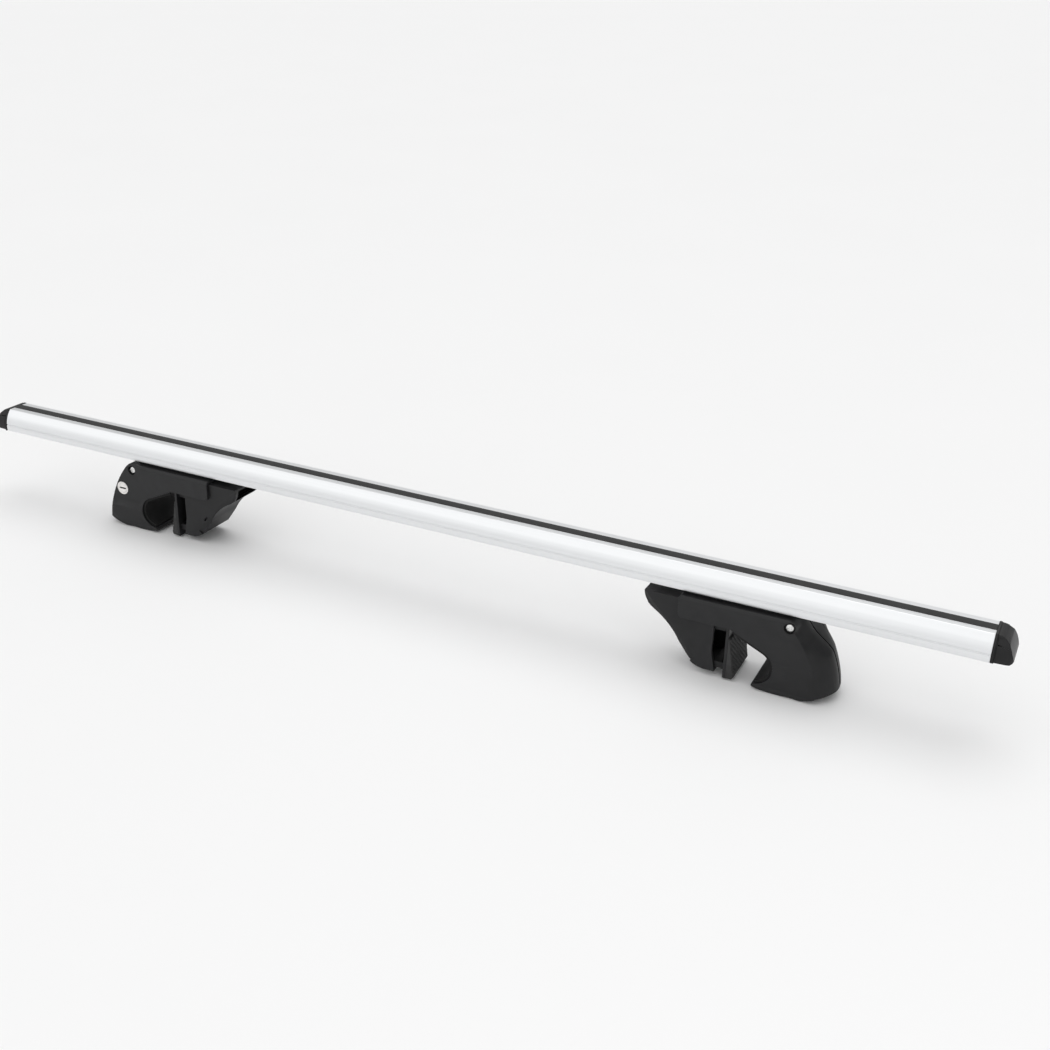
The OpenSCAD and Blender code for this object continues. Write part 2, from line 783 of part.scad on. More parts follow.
module clamp_screw() {
    seat = thrust_t - thrust_u;
    key_depth = screw_head_h / 2;
    chamfer = 1;
    color(zinc) difference() {
        union() {
            rod_u(-screw_z, screw_d / 2, -screw_reach + chamfer, seat);
            rod_u(-screw_z, screw_d / 2 - chamfer, -screw_reach, seat);
            rod_u(-screw_z, screw_head_d / 2, seat, seat + screw_head_h);
        }
        translate([seat + screw_head_h - key_depth, 0, -screw_z]) rotate([0, 90, 0])
            cylinder(d = screw_key / cos(30), h = key_depth + past, $fn = 6);
    }
}

// The jaw seen from the side: a round nose, a long hollow under it, and a round belly
function jaw_outline() =
    let (nose_round = [2.2, -12.2], hollow_rise = [3, 3.2], hollow_end = [-9.5, 13.5],
         belly_low = [-18.2, 3.2], belly_end = [-6, 0], toe = [4.4, 0.2], toe_h = 22)
    concat(arc(jaw_tip, jaw_tip + nose_round, jaw_nose),
           arc(jaw_nose, (jaw_nose + jaw_bend) / 2 + hollow_rise, jaw_bend + hollow_end),
           arc(jaw_bend, jaw_heel + belly_low, jaw_heel + belly_end),
           [jaw_heel + toe, jaw_heel + [0, toe_h], [-jaw_face_u, -jaw_top]]);

// What the jaw is hollowed by: it leaves the roof and the skin, and is open at the face
module jaw_hollow() {
    offset(delta = -jaw_skin) {
        polygon(jaw_outline());
        translate([-jaw_tip_u, -jaw_top - past])
            square([jaw_tip_u - jaw_face_u, past + jaw_skin - jaw_roof_t]);
        translate([-jaw_face_u - past, -jaw_z]) square([far, jaw_z - jaw_top + jaw_skin - jaw_roof_t]);
    }
}

// The flat that runs along the jaw's lower edge on one side, from its tip to its belly
module jaw_bevel(s) {
    drop = 3;
    reach = 7;
    run_out = [40, 6];
    tilt = atan2(jaw_nose.y - jaw_bend.y, jaw_bend.x - jaw_nose.x);
    translate([jaw_nose.x, 0, jaw_nose.y]) rotate([0, tilt, 0])
        end_solid(-run_out[0], norm(jaw_bend - jaw_nose) + run_out[1])
            polygon([[s * (jaw_half - drop - drop / reach), -past],
                     [s * (jaw_half + drop), 2 * reach], [s * (jaw_half + drop), -past]]);
}

// Room in the jaw's roof for the nut and bolt that hold the foot to the bar, over the jaw's travel
module jaw_roof_notch() {
    half = mount_d + 2;
    box(-mount_inner_u - mount_d - jaw_close - head_room, far, -half, half, -beam_top, 0);
}

module jaw() {
    end_frame = 3;
    rail_in = 2.6;
    slot_at = jaw_heel + [-29.6, 27.4];
    slot_size = [7.2, 2.5, 2];
    slot_tilt = 48;
    color(black_plastic) difference() {
        union() {
            difference() {
                side_solid(-jaw_half, jaw_half) polygon(jaw_outline());
                side_solid(-jaw_in, jaw_in) jaw_hollow();
                jaw_roof_notch();
            }
            box(-nut_u - nut_l - beam_wall, beam_wall - nut_u, -jaw_in, jaw_in, -beam_z, -beam_top);
            for (s = [-1, 1]) translate([0, s * (jaw_half + (guide_d - play) / 2), 0])
                box(1 - arm_len, -jaw_face_u - rail_in, -(guide_d - play) / 2, (guide_d - play) / 2,
                    -guide_z - guide_h, -guide_z);
        }
        // Pocket of the jaw nut and the way of the clamp screw
        box(-nut_u - nut_l - nut_fit, nut_fit - nut_u, -nut_w / 2 - nut_fit, nut_w / 2 + nut_fit,
            beam_floor - beam_z, 0);
        rod_u(-screw_z, screw_d / 2 + bolt_fit, -jaw_tip_u, -jaw_face_u);
        // The open inner end, which the clamp screw reaches through
        box(-far, nose_back - jaw_tip_u, end_frame - jaw_in, jaw_in - end_frame,
            -screw_z - screw_d / 2 - bolt_fit, -end_frame - jaw_top);
        jaw_bevel(-1);
        jaw_bevel(1);
        translate([slot_at.x, jaw_half - slot_size.y, slot_at.y]) rotate([0, slot_tilt, 0])
            box(-slot_size.x / 2, slot_size.x / 2, 0, far, -slot_size.z / 2, slot_size.z / 2);
    }
}

module jaw_nut() {
    color(zinc) difference() {
        box(-nut_u - nut_l, -nut_u, -nut_w / 2, nut_w / 2, beam_floor - beam_z, beam_floor - beam_z + nut_h);
        rod_u(-screw_z, screw_d / 2 + run, -nut_u - nut_l - past, -nut_u + past);
    }
}

module pad_carrier() {
    rib_v = jaw_in - play;
    rib_t = 3.5;
    rib_l = 17;
    rib_z = beam_z + 1;
    tray_z = jaw_z - jaw_skin - head_room;
    tray_h = 7;
    tray_l = 13.4;
    tray_wall = 2;
    post_w = 3;
    color(black_plastic) {
        box(-carrier_u, -pad_u, -pad_w / 2, pad_w / 2, -carrier_z, -carrier_top);
        box(-carrier_u - rib_l, -carrier_u, -rib_v, rib_v, -rib_z - rib_t, -rib_z);
        difference() {
            box(-carrier_u - tray_l, -carrier_u, -rib_v, rib_v, -tray_z, tray_h - tray_z);
            box(-far, -carrier_u - tray_wall, tray_wall - rib_v, rib_v - tray_wall,
                tray_wall - tray_z, tray_h - tray_z + past);
        }
        box(-carrier_u - tray_l / 2, -carrier_u, -post_w / 2, post_w / 2, -tray_z, -rib_z);
    }
}

module grip_pad() {
    chamfer = 1.5;
    pad_top_t = 1;
    low = carrier_z - play;
    color(rubber) side_solid(-pad_w / 2, pad_w / 2)
        polygon([[-pad_u, -pad_top], [pad_top_t - pad_u, -pad_top], [pad_t - pad_u, chamfer - low],
                 [pad_t - chamfer - pad_u, -low], [-pad_u, -low]]);
}

module mount_bolts() {
    head = 13;
    head_h = 4.5;
    color(zinc) for (u = [mount_outer_u, mount_inner_u]) translate([-u, 0, 0]) {
        translate([0, 0, -mount_end]) cylinder(d = mount_d, h = mount_end + wall + past);
        translate([-head / 2, -head / 2, wall]) cube([head, head, head_h]);
    }
}

module mount_washers() {
    color(zinc) for (u = [mount_outer_u, mount_inner_u])
        translate([-u, 0, -roof_z - washer_t]) difference() {
            cylinder(d = 2 * mount_d, h = washer_t);
            translate([0, 0, -past]) cylinder(d = mount_d + 2 * run, h = washer_t + 2 * past);
        }
}

module mount_nuts() {
    color(zinc) for (u = [mount_outer_u, mount_inner_u])
        translate([-u, 0, -roof_z - washer_t - mount_nut_h]) difference() {
            cylinder(d = mount_nut_af / cos(30), h = mount_nut_h, $fn = 6);
            translate([0, 0, -past]) cylinder(d = mount_d + 2 * run, h = mount_nut_h + 2 * past);
        }
}

module on_bar() {
    translate([0, 0, foot_h]) children();
}

module right_foot() {
    translate([right_foot_x, 0, foot_h]) children();
}

// The left foot is the same foot, turned half round
module left_foot() {
    translate([-left_foot_x, 0, foot_h]) rotate([0, 0, 180]) children();
}

on_bar() bar_extrusion();
on_bar() top_strip();
on_bar() end_cap_left();
on_bar() end_cap_right();
right_foot() housing();  // right_housing
right_foot() hook_liner();  // right_hook_liner
right_foot() saddle_pad();  // right_saddle_pad
right_foot() end_cover();  // right_end_cover
right_foot() hinge_pin();  // right_hinge_pin
right_foot() cross_bolt();  // right_cross_bolt
right_foot() cross_nut();  // right_cross_nut
right_foot() lock_sleeve();  // right_lock_sleeve
right_foot() lock_barrel();  // right_lock_barrel
right_foot() lock_cam();  // right_lock_cam
right_foot() clamp_screw();  // right_clamp_screw
right_foot() thrust_washer();  // right_thrust_washer
right_foot() jaw();  // right_jaw
right_foot() jaw_nut();  // right_jaw_nut
right_foot() pad_carrier();  // right_pad_carrier
right_foot() grip_pad();  // right_grip_pad
right_foot() mount_bolts();  // right_mount_bolts
right_foot() mount_washers();  // right_mount_washers
right_foot() mount_nuts();  // right_mount_nuts
left_foot() housing();  // left_housing
left_foot() hook_liner();  // left_hook_liner
left_foot() saddle_pad();  // left_saddle_pad
left_foot() end_cover();  // left_end_cover
left_foot() hinge_pin();  // left_hinge_pin
left_foot() cross_bolt();  // left_cross_bolt
left_foot() cross_nut();  // left_cross_nut
left_foot() lock_sleeve();  // left_lock_sleeve
left_foot() lock_barrel();  // left_lock_barrel
left_foot() lock_cam();  // left_lock_cam
left_foot() clamp_screw();  // left_clamp_screw
left_foot() thrust_washer();  // left_thrust_washer
left_foot() jaw();  // left_jaw
left_foot() jaw_nut();  // left_jaw_nut
left_foot() pad_carrier();  // left_pad_carrier
left_foot() grip_pad();  // left_grip_pad
left_foot() mount_bolts();  // left_mount_bolts
left_foot() mount_washers();  // left_mount_washers
left_foot() mount_nuts();  // left_mount_nuts
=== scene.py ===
"""A satin aluminium roof rack crossbar on two moulded rail feet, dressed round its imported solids."""

import json
import math

import bpy
from mathutils import Euler, Matrix, Vector


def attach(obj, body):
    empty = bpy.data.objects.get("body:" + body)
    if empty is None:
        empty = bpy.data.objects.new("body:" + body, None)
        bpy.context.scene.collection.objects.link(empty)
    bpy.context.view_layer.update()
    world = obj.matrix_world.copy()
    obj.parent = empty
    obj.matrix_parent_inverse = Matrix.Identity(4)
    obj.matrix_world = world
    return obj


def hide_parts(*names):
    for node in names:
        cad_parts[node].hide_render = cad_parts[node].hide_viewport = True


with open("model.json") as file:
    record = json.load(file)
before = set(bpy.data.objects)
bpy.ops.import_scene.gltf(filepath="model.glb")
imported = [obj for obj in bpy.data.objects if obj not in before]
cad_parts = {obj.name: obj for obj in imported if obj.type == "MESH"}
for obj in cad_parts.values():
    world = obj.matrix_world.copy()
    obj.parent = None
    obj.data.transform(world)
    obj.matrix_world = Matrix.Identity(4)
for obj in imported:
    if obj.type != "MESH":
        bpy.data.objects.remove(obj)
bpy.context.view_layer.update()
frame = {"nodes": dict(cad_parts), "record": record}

bl_info = {
    "name": "Crossbar Looks",
    "version": (1, 0, 0),
    "blender": (4, 5, 0),
    "location": "3D View > Sidebar > Crossbar",
    "description": "Edges, finishes and studio of a roof rack crossbar",
    "category": "Object",
}

# The body that carries each CAD node, and the node's material slot
BODY_OF = {node: body for body, nodes in frame["record"]["behaviour"]["bodies"].items()
           for node in nodes}
SLOT_OF = {part["node"]: part["material_slot"] for part in frame["record"]["subparts"]}

MM = 0.001
SIDES = {"right": 1, "left": -1}
# Each foot's own middle along the bar, and its height
FOOT_X = {"right": 418 * MM, "left": -393 * MM}
FOOT_HEIGHT = 87 * MM
# The round of a foot's outer end, seen from its side
END_RADIUS = 132 * MM
END_CENTER = (-91.7 * MM, -93 * MM)
END_SKIN = 4 * MM
# The cross bolt, below the foot's top
BOLT_DEPTH = 10.5 * MM
# The lock, below the foot's top and in from its outer end
LOCK_DEPTH = 36.6 * MM
LOCK_INSET = 10.6 * MM
# Points nearer than this are one point, and faces flatter than this to each other are one face
MERGE = 0.004 * MM
FLAT = math.radians(0.4)
# Two faces that meet more sharply than this show an edge
SHARP = math.radians(31)
# Most of a noise texture lies between these
NOISE = (0.3, 0.7)


class StudioSettings(bpy.types.PropertyGroup):
    focal_length: bpy.props.FloatProperty(
        name="Focal Length", description="Focal length on a sensor 36 mm wide",
        default=44.165, unit="CAMERA")
    camera_place: bpy.props.FloatVectorProperty(
        name="Camera Place", description="Where the camera stands",
        default=(0.6532, -1.1183, 0.676), subtype="TRANSLATION", unit="LENGTH")
    camera_yaw: bpy.props.FloatProperty(
        name="Camera Yaw", description="Turn of the camera to its left",
        default=math.radians(25.48), subtype="ANGLE", unit="ROTATION")
    camera_pitch: bpy.props.FloatProperty(
        name="Camera Pitch", description="How far the camera looks down",
        default=math.radians(24.634), subtype="ANGLE", unit="ROTATION")
    camera_roll: bpy.props.FloatProperty(
        name="Camera Roll", description="Tilt of the camera about its own view",
        default=math.radians(-1.575), subtype="ANGLE", unit="ROTATION")
    floor_size: bpy.props.FloatProperty(
        name="Floor Size", description="Length of each side of the floor",
        default=60.0, unit="LENGTH")
    floor_color: bpy.props.FloatVectorProperty(
        name="Floor Colour", description="Colour of the pale floor",
        default=(0.9, 0.9, 0.9), subtype="COLOR", min=0.0, max=1.0)
    sky_color: bpy.props.FloatVectorProperty(
        name="Sky Colour", description="Colour of the studio overhead and in front",
        default=(1.0, 1.0, 1.0), subtype="COLOR", min=0.0, max=1.0)
    wall_color: bpy.props.FloatVectorProperty(
        name="Wall Colour", description="Colour of the studio's walls near the floor",
        default=(0.66, 0.665, 0.67), subtype="COLOR", min=0.0, max=1.0)
    back_shade: bpy.props.FloatProperty(
        name="Back Shade", description="How much of the front's brightness the studio's back has",
        default=0.6, min=0.0, max=1.0, subtype="FACTOR")
    side_shade: bpy.props.FloatProperty(
        name="Side Shade", description="How much of that brightness the studio's right side has",
        default=0.25, min=0.0, max=1.0, subtype="FACTOR")
    sky_strength: bpy.props.FloatProperty(
        name="Sky Strength", description="Brightness of the studio's own light", default=1.22, min=0.0)
    key_strength: bpy.props.FloatProperty(
        name="Key Light", description="Strength of the broad light overhead", default=0.75, min=0.0)
    key_spread: bpy.props.FloatProperty(
        name="Key Spread", description="How wide the light overhead looks",
        default=math.radians(50), subtype="ANGLE", unit="ROTATION")
    key_tilt: bpy.props.FloatProperty(
        name="Key Tilt", description="Tilt of the light overhead towards the front",
        default=math.radians(24), subtype="ANGLE", unit="ROTATION")
    fill_power: bpy.props.FloatProperty(
        name="Fill Light", description="Power of the light at the right", default=5.0, unit="POWER")
    fill_place: bpy.props.FloatVectorProperty(
        name="Fill Place", description="Where the light at the right stands",
        default=(2.4, -1.5, 0.9), subtype="TRANSLATION", unit="LENGTH")
    fill_target: bpy.props.FloatVectorProperty(
        name="Fill Target", description="What the light at the right faces",
        default=(0.1, 0.0, 0.05), subtype="TRANSLATION", unit="LENGTH")
    fill_size: bpy.props.FloatVectorProperty(
        name="Fill Size", description="Width and height of the light at the right",
        default=(0.5, 0.9), size=2, unit="LENGTH")


class FinishSettings(bpy.types.PropertyGroup):
    aluminium_color: bpy.props.FloatVectorProperty(
        name="Aluminium", description="Colour of the anodised bar",
        default=(0.80, 0.81, 0.82), subtype="COLOR", min=0.0, max=1.0)
    plastic_color: bpy.props.FloatVectorProperty(
        name="Foot Plastic", description="Colour of the moulded feet",
        default=(0.0135, 0.0136, 0.0143), subtype="COLOR", min=0.0, max=1.0)
    cap_color: bpy.props.FloatVectorProperty(
        name="Cap Plastic", description="Colour of the end caps",
        default=(0.009, 0.0091, 0.0096), subtype="COLOR", min=0.0, max=1.0)
    rubber_color: bpy.props.FloatVectorProperty(
        name="Rubber", description="Colour of the rubber pieces",
        default=(0.012, 0.012, 0.012), subtype="COLOR", min=0.0, max=1.0)
    zinc_color: bpy.props.FloatVectorProperty(
        name="Zinc", description="Colour of the plated screws",
        default=(0.74, 0.74, 0.73), subtype="COLOR", min=0.0, max=1.0)
    lock_color: bpy.props.FloatVectorProperty(
        name="Lock", description="Colour of the lock's nickel",
        default=(0.80, 0.78, 0.76), subtype="COLOR", min=0.0, max=1.0)
    grain_size: bpy.props.FloatProperty(
        name="Grain Size", description="Width of one grain of the moulded surface",
        default=0.7 * MM, unit="LENGTH")
    grain_depth: bpy.props.FloatProperty(
        name="Grain Depth", description="Depth of the moulded grain",
        default=0.045 * MM, unit="LENGTH")
    line_width: bpy.props.FloatProperty(
        name="Line Width", description="Width of one drawn line along the bar",
        default=0.5 * MM, unit="LENGTH")
    line_length: bpy.props.FloatProperty(
        name="Line Length", description="Length of one drawn line along the bar",
        default=180 * MM, unit="LENGTH")


class DetailSettings(bpy.types.PropertyGroup):
    bar_edge: bpy.props.FloatProperty(
        name="Bar Edges", description="Radius of the extrusion's edges",
        default=0.35 * MM, unit="LENGTH")
    moulded_edge: bpy.props.FloatProperty(
        name="Moulded Edges", description="Radius of the feet's edges",
        default=0.6 * MM, unit="LENGTH")
    end_bow: bpy.props.FloatProperty(
        name="End Bow", description="How far a foot's outer end bows out between its sides",
        default=11.0 * MM, unit="LENGTH")
    cover_shift: bpy.props.FloatProperty(
        name="Cover Shift",
        description="How far the cover's edge on the hook side lies across the bowed end",
        default=24.0 * MM, unit="LENGTH")
    top_slope: bpy.props.FloatProperty(
        name="Top Slope", description="Height of the slope along the foot's top edges",
        default=5.8 * MM, unit="LENGTH")
    jaw_edge: bpy.props.FloatProperty(
        name="Jaw Edges", description="Radius of the jaws' edges",
        default=0.4 * MM, unit="LENGTH")
    sole_drop: bpy.props.FloatProperty(
        name="Sole Drop", description="How much lower the sole ends at the outer end",
        default=3.0 * MM, unit="LENGTH")
    rubber_edge: bpy.props.FloatProperty(
        name="Rubber Edges", description="Radius of the rubber pieces' edges",
        default=0.5 * MM, unit="LENGTH")
    scale_width: bpy.props.FloatProperty(
        name="Scale Width", description="Width of one raised diamond of the grip pads",
        default=9.0 * MM, unit="LENGTH")
    scale_height: bpy.props.FloatProperty(
        name="Scale Height", description="Height of one raised diamond of the grip pads",
        default=6.0 * MM, unit="LENGTH")
    scale_rise: bpy.props.FloatProperty(
        name="Scale Rise", description="How far the diamonds stand out of the grip pads",
        default=0.8 * MM, unit="LENGTH")
    metal_edge: bpy.props.FloatProperty(
        name="Metal Edges", description="Radius of the screws' edges",
        default=0.25 * MM, unit="LENGTH")


# Sizes and colours as the operators read them
def studio():
    return bpy.context.scene.crossbar_studio


def finish():
    return bpy.context.scene.crossbar_finish


def detail():
    return bpy.context.scene.crossbar_detail


def make_active(piece):
    """Leaves this piece alone selected and active."""
    bpy.ops.object.select_all(action="DESELECT")
    bpy.context.view_layer.objects.active = piece
    piece.select_set(True)


def skin_of(node):
    """A copy of a CAD node's mesh, merged into one closed skin."""
    piece = bpy.data.objects.new(node.capitalize(), frame["nodes"][node].data.copy())
    bpy.context.scene.collection.objects.link(piece)
    make_active(piece)
    bpy.ops.object.mode_set(mode="EDIT")
    bpy.ops.mesh.customdata_custom_splitnormals_clear()
    bpy.ops.mesh.select_all(action="SELECT")
    bpy.ops.mesh.remove_doubles(threshold=MERGE)
    bpy.ops.mesh.dissolve_degenerate(threshold=MERGE)
    bpy.ops.mesh.dissolve_limited(angle_limit=FLAT)
    bpy.ops.object.mode_set(mode="OBJECT")
    return piece


def round_edges(piece, radius):
    """Rounds every sharp edge of a piece."""
    make_active(piece)
    bevel = piece.modifiers.new("Rounded edges", "BEVEL")
    bevel.width = radius
    bevel.segments = 2
    bevel.limit_method = "ANGLE"
    bevel.angle_limit = SHARP
    bevel.use_clamp_overlap = False
    bpy.ops.object.modifier_apply(modifier=bevel.name)


def shade_evenly(piece):
    """Shades a piece smooth, with its large faces even where they meet a rounded edge."""
    make_active(piece)
    bpy.ops.object.shade_smooth_by_angle(angle=SHARP)
    weighting = piece.modifiers.new("Even faces", "WEIGHTED_NORMAL")
    weighting.keep_sharp = True
    weighting.weight = 80
    bpy.ops.object.modifier_apply(modifier=weighting.name)


def ease(value, start, end):
    """A soft step from 0 to 1 between two values."""
    part = min(1.0, max(0.0, (value - start) / (end - start)))
    return part * part * (3 - 2 * part)


def foot_place(point, side):
    """A point as the foot has it: outwards along the bar, across it, and up from the foot's top."""
    return SIDES[side] * (point.x - FOOT_X[side]), SIDES[side] * point.y, point.z - FOOT_HEIGHT


def end_depth(u, z):
    """How deep a point lies inside the round of the outer end."""
    return END_RADIUS - math.hypot(u - END_CENTER[0], z - END_CENTER[1])


def cut(piece, axis, places, region=lambda point: True):
    """Cuts the faces that lie within a region along the planes that cross an axis at these places."""
    make_active(piece)
    normal = [int(letter == axis) for letter in "XYZ"]
    chosen = piece.vertex_groups.new(name="Region")
    chosen.add([corner.index for corner in piece.data.vertices if region(corner.co)], 1.0, "REPLACE")
    bpy.ops.object.mode_set(mode="EDIT")
    for place in places:
        bpy.ops.mesh.select_all(action="DESELECT")
        bpy.ops.object.vertex_group_select()
        bpy.ops.mesh.bisect(plane_co=[part * place for part in normal], plane_no=normal)
    bpy.ops.object.mode_set(mode="OBJECT")
    piece.vertex_groups.clear()


def push(piece, direction, distance, share):
    """Moves each point along an axis, by the share of the distance that its place gives."""
    make_active(piece)
    group = piece.vertex_groups.new(name="Share")
    for corner in piece.data.vertices:
        part = share(corner.co)
        if part > 0:
            group.add([corner.index], part, "REPLACE")
    move = piece.modifiers.new("Moved", "DISPLACE")
    move.direction = direction
    move.mid_level = 0.0
    move.strength = distance
    move.vertex_group = group.name
    bpy.ops.object.modifier_apply(modifier=move.name)
    piece.vertex_groups.clear()


def near_skin(u, z, depth):
    """1 on the outer end's skin, and 0 from this depth on."""
    return 1 - ease(end_depth(u, z), END_SKIN, depth)


def shift_to_lock(piece, side):
    """Moves the cover's edge on the hook side across the outer end, with all that lies round it."""
    # Across the foot: its own side, the cover's edge in the solid, and where the shift has run out
    own_side, edge, run_out = -29.4 * MM, -22.5 * MM, 4 * MM
    # Round the hinge the whole depth goes across, from its wall outwards and down to its foot
    hinge_wall, hinge_foot = (6.3 * MM, 7.4 * MM), (22 * MM, 26 * MM)
    # Elsewhere only the skin goes across, and the cross bolt's recess stays
    skin_depth, recess = 10 * MM, (6.2 * MM, 7.6 * MM)

    def share(point):
        u, v, z = foot_place(point, side)
        across = min((v - own_side) / (edge - own_side), (run_out - v) / (run_out - edge))
        round_hinge = ease(u, *hinge_wall) * (1 - ease(-z, *hinge_foot))
        clear_of_bolt = ease(math.hypot(u, z + BOLT_DEPTH), *recess)
        return max(0.0, across) * max(round_hinge, near_skin(u, z, skin_depth)) * clear_of_bolt

    push(piece, "Y", SIDES[side] * detail().cover_shift, share)


def bow_outer_end(piece, side):
    """Bows a foot's outer end out between its two sides, and lowers its sole."""
    half_width, fullness, skin_depth = 29 * MM, 2.2, 18 * MM
    # The bow grows over these depths below the foot's top
    bow_start = (18 * MM, 40 * MM)
    # The drop grows downwards and outwards
    drop_start, drop_out = (66 * MM, 80 * MM), (5 * MM, 20 * MM)
    # The end's faces are cut this closely, down from the top edge
    spacing, cut_depth, top_edge = 3 * MM, 20 * MM, 9 * MM

    def near_end(point):
        u, _, z = foot_place(point, side)
        return end_depth(u, z) < cut_depth and z < -top_edge

    def bow(point):
        u, v, z = foot_place(point, side)
        across = max(0.0, 1 - abs(v / half_width) ** fullness)
        return across * ease(-z, *bow_start) * near_skin(u, z, skin_depth)

    def drop(point):
        u, _, z = foot_place(point, side)
        return ease(u, *drop_out) * ease(-z, *drop_start)

    shift_to_lock(piece, side)
    cut(piece, "Y", [step * spacing for step in range(-9, 10)], near_end)
    push(piece, "Z", -detail().sole_drop, drop)
    push(piece, "X", SIDES[side] * detail().end_bow, bow)


def slope_top_edges(piece, side):
    """Slopes the foot's two long top edges in under the bar, with a soft crease below the slope."""
    reach, crease = detail().top_slope, 1 * MM
    # The slope is full on the sides, and fades towards the foot's middle
    flank = (18 * MM, 27 * MM)

    def inward(point):
        _, v, z = foot_place(point, side)
        # Above the crease the slope is straight, and a parabola leads across the crease into it
        rise = (z + reach) / crease
        height = rise if rise > 1 else max(0.0, rise + 1) ** 2 / 4
        return height * crease / reach * ease(abs(v), *flank)

    cut(piece, "Z", [FOOT_HEIGHT - reach + step * crease for step in (-1, -0.5, 0, 0.5, 1, 2.5)])
    for way in (1, -1):
        push(piece, "Y", -way * reach, lambda point: inward(point) * (point.y * way > 0))


def trim_nose(jaw, side):
    """Lets the jaw's slanted lower edges run out level at the end of its nose."""
    slant, proud = 22.1 * MM, 3.4 * MM
    nose_start, nose_top = -142 * MM, -19.5 * MM
    for way in (1, -1):
        def share(point):
            u, _, z = foot_place(point, side)
            at_nose = u < nose_start and z < nose_top
            return min(1.0, max(0.0, (point.y * way - slant) / proud)) if at_nose else 0.0

        push(jaw, "Y", -way * proud, share)


def dress(piece, node, material=None):
    """Puts a finished piece in a CAD node's place, with its slot's own material or another one."""
    body, slot = BODY_OF[node], SLOT_OF[node]
    piece.data.materials.clear()
    piece.data.materials.append(material_of(material or slot))
    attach(piece, body)
    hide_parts(node)


def rounded_copy(node, radius, material=None):
    """A CAD node's piece with its edges rounded as they are moulded, cut or pressed."""
    piece = skin_of(node)
    round_edges(piece, radius)
    shade_evenly(piece)
    dress(piece, node, material)
    return piece


# Materials
def new_group(name, inputs, outputs):
    """A shader node group with its named sockets, and its two end nodes."""
    tree = bpy.data.node_groups.new(name, "ShaderNodeTree")
    for label, kind, value in inputs:
        socket = tree.interface.new_socket(name=label, in_out="INPUT", socket_type=kind)
        socket.default_value = value
    for label, kind in outputs:
        tree.interface.new_socket(name=label, in_out="OUTPUT", socket_type=kind)
    return tree, tree.nodes.new("NodeGroupInput"), tree.nodes.new("NodeGroupOutput")


def add_node(tree, kind, links=None, **settings):
    """A node with its settings, and its inputs linked to sockets or set to values."""
    node = tree.nodes.new(kind)
    for key, value in settings.items():
        setattr(node, key, value)
    for key, value in (links or {}).items():
        if isinstance(value, bpy.types.NodeSocket):
            tree.links.new(value, node.inputs[key])
        else:
            node.inputs[key].default_value = value
    return node


def math_node(tree, operation, a, b):
    """Two values put together by a Math node."""
    return add_node(tree, "ShaderNodeMath", {0: a, 1: b}, operation=operation).outputs[0]


def map_range(tree, value, low, high, to_low, to_high):
    """A value spread from one range over another, and held inside it."""
    return add_node(tree, "ShaderNodeMapRange", {
        "Value": value, "From Min": low, "From Max": high, "To Min": to_low, "To Max": to_high,
    }, clamp=True).outputs["Result"]


def over_noise(tree, noise, low, high):
    """Spreads a noise over two values."""
    return map_range(tree, noise, *NOISE, low, high)


def moulded_grain_group():
    """The fine pebbled grain of a moulded surface, with its soft unevenness of tone."""
    tree, ins, outs = new_group(
        "Moulded Grain",
        [("Size", "NodeSocketFloat", 0.7 * MM), ("Cloud Size", "NodeSocketFloat", 25 * MM)],
        [("Height", "NodeSocketFloat"), ("Tone", "NodeSocketFloat")])
    place = add_node(tree, "ShaderNodeTexCoord").outputs["Object"]
    fine_scale = math_node(tree, "DIVIDE", 1.0, ins.outputs["Size"])
    cells = add_node(tree, "ShaderNodeTexVoronoi", {
        "Vector": place, "Scale": fine_scale, "Randomness": 1.0}, feature="SMOOTH_F1")
    dust = add_node(tree, "ShaderNodeTexNoise", {
        "Vector": place, "Scale": fine_scale, "Detail": 3.0, "Roughness": 0.6})
    height = math_node(tree, "ADD", cells.outputs["Distance"], dust.outputs["Fac"])
    tree.links.new(math_node(tree, "MULTIPLY", height, 0.5), outs.inputs["Height"])
    cloud = add_node(tree, "ShaderNodeTexNoise", {
        "Vector": place, "Scale": math_node(tree, "DIVIDE", 1.0, ins.outputs["Cloud Size"]),
        "Detail": 4.0, "Roughness": 0.55})
    tree.links.new(cloud.outputs["Fac"], outs.inputs["Tone"])
    return tree


def drawn_lines_group():
    """Fine lines that a die leaves along an extrusion."""
    tree, ins, outs = new_group(
        "Drawn Lines",
        [("Line Width", "NodeSocketFloat", 0.5 * MM), ("Line Length", "NodeSocketFloat", 180 * MM)],
        [("Height", "NodeSocketFloat"), ("Tone", "NodeSocketFloat")])
    place = add_node(tree, "ShaderNodeTexCoord").outputs["Object"]
    across = math_node(tree, "DIVIDE", 1.0, ins.outputs["Line Width"])
    along = math_node(tree, "DIVIDE", 1.0, ins.outputs["Line Length"])
    scale = add_node(tree, "ShaderNodeCombineXYZ", {0: along, 1: across, 2: across}).outputs[0]
    stretched = add_node(tree, "ShaderNodeVectorMath", {0: place, 1: scale}, operation="MULTIPLY")
    lines = add_node(tree, "ShaderNodeTexNoise", {
        "Vector": stretched.outputs[0], "Scale": 1.0, "Detail": 4.0, "Roughness": 0.7})
    tree.links.new(lines.outputs["Fac"], outs.inputs["Height"])
    broad = add_node(tree, "ShaderNodeTexNoise", {
        "Vector": stretched.outputs[0], "Scale": 0.11, "Detail": 2.0, "Roughness": 0.5})
    tree.links.new(broad.outputs["Fac"], outs.inputs["Tone"])
    return tree


